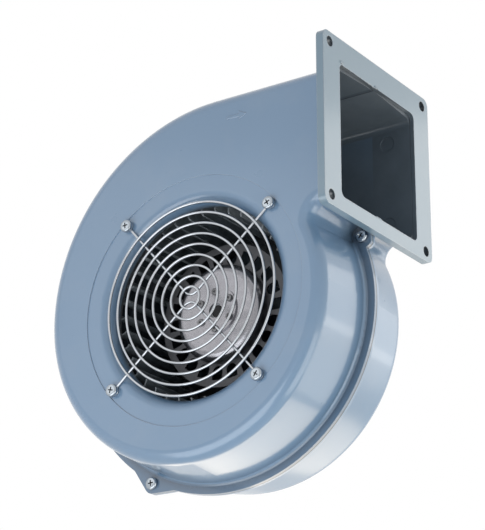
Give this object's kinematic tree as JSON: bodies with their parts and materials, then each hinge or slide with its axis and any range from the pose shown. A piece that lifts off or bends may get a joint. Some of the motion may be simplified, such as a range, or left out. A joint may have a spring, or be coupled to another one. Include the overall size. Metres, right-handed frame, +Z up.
{
  "type": "centrifugal blower fan",
  "caption": "Single-inlet centrifugal blower fan with a die-cast scroll housing, a wire inlet guard, a rectangular outlet flange and a forward-curved impeller on an external-rotor motor.",
  "frame": {"origin": "centre of the outlet flange's four-hole pattern, on the flange's face", "axes": "+X out of the outlet along the air flow, +Z up with the outlet above the impeller, +Y away from the inlet, so that the inlet faces -Y; the impeller turns about an axis along Y"},
  "size_m": [0.2242, 0.126, 0.256],
  "materials": {
    "housing_cast": "smooth coated die-cast aluminium, blue-grey",
    "flange_cast": "satin cast aluminium",
    "guard_wire": "bright plated wire",
    "zinc_screws": "zinc-plated steel",
    "motor_cast": "bare die-cast aluminium",
    "bearing_steel": "ground bearing steel",
    "core_steel": "stacked electrical steel",
    "insulator": "moulded insulation",
    "copper": "enamelled copper wire",
    "board": "solder-masked circuit board",
    "rubber": "black rubber",
    "shaft_steel": "ground steel",
    "spring_steel": "phosphated spring steel",
    "can_steel": "zinc-plated drawn steel",
    "magnet": "sintered magnet ring",
    "impeller_sheet": "galvanised sheet steel",
    "clip_steel": "bright spring steel"
  },
  "bodies": {
    "housing": {"front_shell": "housing_cast", "rear_shell": "housing_cast", "outlet_flange": "flange_cast", "inlet_guard": "guard_wire", "guard_screws": "zinc_screws", "housing_screws": "zinc_screws", "housing_nuts": "zinc_screws", "motor_flange": "motor_cast", "motor_screws": "zinc_screws", "bearing_outer_rings": "bearing_steel", "bearing_balls": "bearing_steel", "stator_core": "core_steel", "winding_insulators": "insulator", "stator_windings": "copper", "circuit_board": "board", "cable_grommet": "rubber"},
    "rotor": {"bearing_inner_rings": "bearing_steel", "motor_shaft": "shaft_steel", "shaft_circlip": "spring_steel", "rotor_can": "can_steel", "magnet_ring": "magnet", "impeller_back_plate": "impeller_sheet", "impeller_front_ring": "impeller_sheet", "impeller_blades": "impeller_sheet", "balance_clips": "clip_steel", "hub_screws": "zinc_screws"}
  },
  "joints": [
    {"name": "impeller_spin", "type": "hinge", "parent": "housing", "child": "rotor", "pos_m": [-0.1057, 0, -0.09], "axis": [0, 1, 0], "continuous": true}
  ]
}
